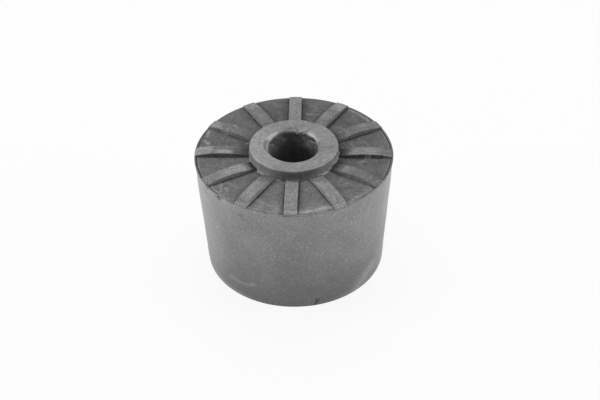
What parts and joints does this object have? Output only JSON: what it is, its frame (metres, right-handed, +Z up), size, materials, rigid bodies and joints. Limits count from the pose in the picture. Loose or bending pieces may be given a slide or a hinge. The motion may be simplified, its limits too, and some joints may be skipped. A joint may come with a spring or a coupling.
{
  "type": "engine mount",
  "caption": "One-piece tapered rubber engine mount with a through bolt bore, a raised locating collar and crowned radial ribs on its upper bearing face.",
  "frame": {"origin": "middle of the flat foot, on the axis of the bore", "axes": "+Z up along the bore, from the foot to the collar; the ribs start at +X"},
  "size_m": [0.084, 0.084, 0.057],
  "materials": {
    "rubber": "matte moulded black rubber, greyed by bloom and dust"
  },
  "bodies": {
    "root": {"rubber_mount": "rubber"}
  },
  "joints": []
}
